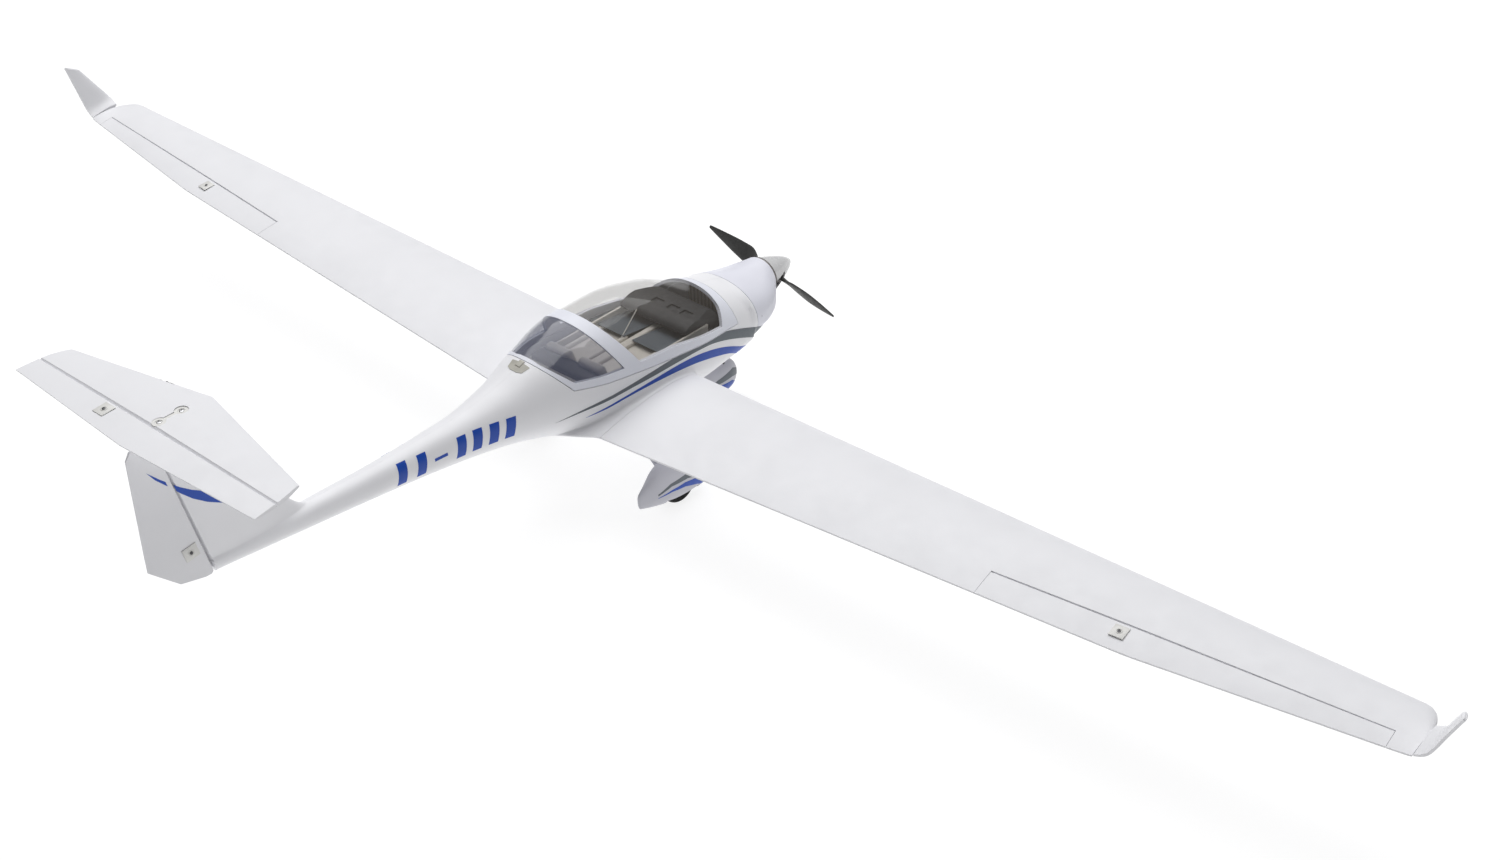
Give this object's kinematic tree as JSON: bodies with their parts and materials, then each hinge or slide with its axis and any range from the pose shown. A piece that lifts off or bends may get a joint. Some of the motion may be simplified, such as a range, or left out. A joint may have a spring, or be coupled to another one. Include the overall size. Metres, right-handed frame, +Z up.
{
  "type": "rc motor glider",
  "caption": "Long-winged foam motor glider with a T-tail, bubble canopy, folding propeller and three spatted wheels, control surfaces linked to their servos.",
  "frame": {"origin": "on the ground under the middle of the overall length and span", "axes": "+X to the port wing tip, -Y towards the nose, +Z up; wings span X"},
  "size_m": [2.0022, 0.8846, 0.3338],
  "materials": {
    "foam": "smooth moulded white foam, satin",
    "smoked_glass": "thin smoked clear plastic, glossy",
    "interior": "moulded light grey-beige, matt",
    "dark_plastic": "black moulded plastic, matt",
    "prop_plastic": "glass-filled nylon, satin",
    "steel": "plated wire",
    "horn_plastic": "translucent natural nylon",
    "plywood": "light ply",
    "tyre": "black foam rubber",
    "carbon": "carbon tube, satin",
    "battery_wrap": "foil pouch cells in blue shrink wrap",
    "spinner_white": "gloss white plastic",
    "motor_metal": "steel and copper motor"
  },
  "bodies": {
    "airframe": {"fuselage_left": "foam", "fuselage_right": "foam", "nose_cowl": "foam", "firewall": "plywood", "motor_base": "motor_metal", "battery": "battery_wrap", "esc": "dark_plastic", "receiver": "dark_plastic", "wing_spar": "carbon", "wing_left": "foam", "wing_right": "foam", "winglet_left": "foam", "winglet_right": "foam", "aileron_servo_left": "dark_plastic", "aileron_servo_right": "dark_plastic", "stabilizer": "foam", "stab_plate": "horn_plastic", "stab_screw_front": "steel", "stab_screw_rear": "steel", "elevator_servo": "dark_plastic", "rudder_servo": "dark_plastic", "main_leg_left": "foam", "main_leg_right": "foam", "main_spat_left": "foam", "main_spat_right": "foam"},
    "rotor": {"motor_bell": "motor_metal", "prop_hub": "dark_plastic", "spinner": "spinner_white"},
    "blade_left": {"blade_left": "prop_plastic"},
    "blade_right": {"blade_right": "prop_plastic"},
    "canopy": {"canopy_frame": "foam", "canopy_glass": "smoked_glass", "rear_window": "smoked_glass", "cockpit_tub": "interior", "instrument_panel": "dark_plastic"},
    "aileron_left": {"aileron_left": "foam", "aileron_horn_left": "horn_plastic", "aileron_plate_left": "horn_plastic"},
    "aileron_left_arm": {"aileron_arm_left": "horn_plastic"},
    "aileron_left_rod": {"aileron_rod_left": "steel"},
    "aileron_right": {"aileron_right": "foam", "aileron_horn_right": "horn_plastic", "aileron_plate_right": "horn_plastic"},
    "aileron_right_arm": {"aileron_arm_right": "horn_plastic"},
    "aileron_right_rod": {"aileron_rod_right": "steel"},
    "elevator": {"elevator": "foam", "elevator_horn": "horn_plastic", "elevator_plate": "horn_plastic"},
    "elevator_arm": {"elevator_arm": "horn_plastic"},
    "elevator_rod": {"elevator_rod": "steel"},
    "rudder": {"rudder": "foam", "rudder_horn": "horn_plastic", "rudder_plate": "horn_plastic"},
    "rudder_arm": {"rudder_arm": "horn_plastic"},
    "rudder_rod": {"rudder_rod": "steel"},
    "nose_gear": {"nose_strut": "steel", "nose_spat": "foam"},
    "nose_wheel": {"nose_wheel": "tyre"},
    "main_wheel_left": {"main_wheel_left": "tyre"},
    "main_wheel_right": {"main_wheel_right": "tyre"}
  },
  "joints": [
    {"name": "prop_spin", "type": "hinge", "parent": "airframe", "child": "rotor", "pos_m": [0, -0.39045, 0.1288], "axis": [0, 1, 0], "continuous": true},
    {"name": "blade_left_fold", "type": "hinge", "parent": "rotor", "child": "blade_left", "pos_m": [0.01158, -0.40825, 0.13195], "axis": [-0.2622, 0, 0.965], "range_deg": [0, 28]},
    {"name": "blade_right_fold", "type": "hinge", "parent": "rotor", "child": "blade_right", "pos_m": [-0.01158, -0.40825, 0.12565], "axis": [0.2622, 0, -0.965], "range_deg": [0, 28]},
    {"name": "canopy_tilt", "type": "hinge", "parent": "airframe", "child": "canopy", "pos_m": [0, -0.28845, 0.1684], "axis": [1, 0, 0], "range_deg": [0, 40]},
    {"name": "aileron_left_hinge", "type": "hinge", "parent": "airframe", "child": "aileron_left", "pos_m": [0.686, -0.11685, 0.13736], "axis": [0.9969, -0.0699, 0.0349], "range_deg": [-20, 20]},
    {"name": "aileron_left_arm_turn", "type": "hinge", "parent": "airframe", "child": "aileron_left_arm", "pos_m": [0.68334, -0.15475, 0.13736], "axis": [0.9969, -0.0699, 0.0349], "range_deg": [-26, 26]},
    {"name": "aileron_left_rod_pin", "type": "hinge", "parent": "aileron_left_arm", "child": "aileron_left_rod", "pos_m": [0.68376, -0.15478, 0.12537], "axis": [0.9969, -0.0699, 0.0349], "range_deg": [-26, 26]},
    {"name": "aileron_right_hinge", "type": "hinge", "parent": "airframe", "child": "aileron_right", "pos_m": [-0.686, -0.11685, 0.13736], "axis": [0.9969, 0.0699, -0.0349], "range_deg": [-20, 20]},
    {"name": "aileron_right_arm_turn", "type": "hinge", "parent": "airframe", "child": "aileron_right_arm", "pos_m": [-0.68334, -0.15475, 0.13736], "axis": [0.9969, 0.0699, -0.0349], "range_deg": [-26, 26]},
    {"name": "aileron_right_rod_pin", "type": "hinge", "parent": "aileron_right_arm", "child": "aileron_right_rod", "pos_m": [-0.68376, -0.15478, 0.12537], "axis": [0.9969, 0.0699, -0.0349], "range_deg": [-26, 26]},
    {"name": "elevator_hinge", "type": "hinge", "parent": "airframe", "child": "elevator", "pos_m": [0, 0.40625, 0.33], "axis": [1, 0, 0], "range_deg": [-18, 18]},
    {"name": "elevator_arm_turn", "type": "hinge", "parent": "airframe", "child": "elevator_arm", "pos_m": [0.057, 0.36825, 0.327], "axis": [1, 0, 0], "range_deg": [-24, 24]},
    {"name": "elevator_rod_pin", "type": "hinge", "parent": "elevator_arm", "child": "elevator_rod", "pos_m": [0.057, 0.36825, 0.315], "axis": [1, 0, 0], "range_deg": [-24, 24]},
    {"name": "rudder_hinge", "type": "hinge", "parent": "airframe", "child": "rudder", "pos_m": [0, 0.38455, 0.193], "axis": [0, 0.1961, 0.9806], "range_deg": [-22, 22]},
    {"name": "rudder_arm_turn", "type": "hinge", "parent": "airframe", "child": "rudder_arm", "pos_m": [0.005, 0.34729, 0.20045], "axis": [0, 0.1961, 0.9806], "range_deg": [-28, 28]},
    {"name": "rudder_rod_pin", "type": "hinge", "parent": "rudder_arm", "child": "rudder_rod", "pos_m": [0.017, 0.34729, 0.20045], "axis": [0, 0.1961, 0.9806], "range_deg": [-28, 28]},
    {"name": "nose_steer", "type": "hinge", "parent": "airframe", "child": "nose_gear", "pos_m": [0, -0.30825, 0.055], "axis": [0, 0, 1], "range_deg": [-18, 18]},
    {"name": "nose_wheel_spin", "type": "hinge", "parent": "nose_gear", "child": "nose_wheel", "pos_m": [0, -0.30325, 0.02], "axis": [1, 0, 0], "continuous": true},
    {"name": "main_wheel_left_spin", "type": "hinge", "parent": "airframe", "child": "main_wheel_left", "pos_m": [0.105, -0.13325, 0.023], "axis": [1, 0, 0], "continuous": true},
    {"name": "main_wheel_right_spin", "type": "hinge", "parent": "airframe", "child": "main_wheel_right", "pos_m": [-0.105, -0.13325, 0.023], "axis": [1, 0, 0], "continuous": true}
  ],
  "couplings": [
    {"joint": "aileron_left_arm_turn", "follows": "aileron_left_hinge", "ratio": 1},
    {"joint": "aileron_left_rod_pin", "follows": "aileron_left_hinge", "ratio": -1},
    {"joint": "aileron_right_hinge", "follows": "aileron_left_hinge", "ratio": -1},
    {"joint": "aileron_right_arm_turn", "follows": "aileron_left_hinge", "ratio": -1},
    {"joint": "aileron_right_rod_pin", "follows": "aileron_left_hinge", "ratio": 1},
    {"joint": "elevator_arm_turn", "follows": "elevator_hinge", "ratio": 1},
    {"joint": "elevator_rod_pin", "follows": "elevator_hinge", "ratio": -1},
    {"joint": "rudder_arm_turn", "follows": "rudder_hinge", "ratio": 1},
    {"joint": "rudder_rod_pin", "follows": "rudder_hinge", "ratio": -1},
    {"joint": "nose_steer", "follows": "rudder_hinge", "ratio": -0.8}
  ]
}
